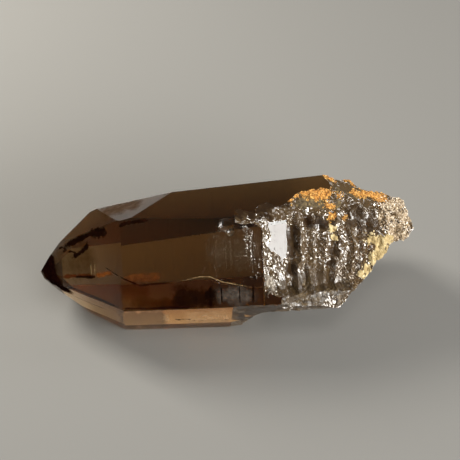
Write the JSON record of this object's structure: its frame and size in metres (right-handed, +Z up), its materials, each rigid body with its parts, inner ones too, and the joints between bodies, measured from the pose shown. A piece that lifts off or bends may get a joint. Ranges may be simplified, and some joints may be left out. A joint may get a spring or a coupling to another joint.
{
  "type": "lemurian quartz crystal",
  "caption": "Smoky hexagonal quartz point lying on a prism face, with ladder lines across its faces, a stepped broken root and orange iron crust.",
  "frame": {"origin": "centre of the bounding box in plan, on the rest face", "axes": "+X along the crystal axis to the broken root, +Z up from the rest face, -Y the front"},
  "size_m": [0.068, 0.029, 0.0247],
  "materials": {
    "smoky_quartz": "clear smoky brown, glossy faces, rough sparkling break"
  },
  "bodies": {
    "root": {"crystal": "smoky_quartz"}
  },
  "joints": []
}
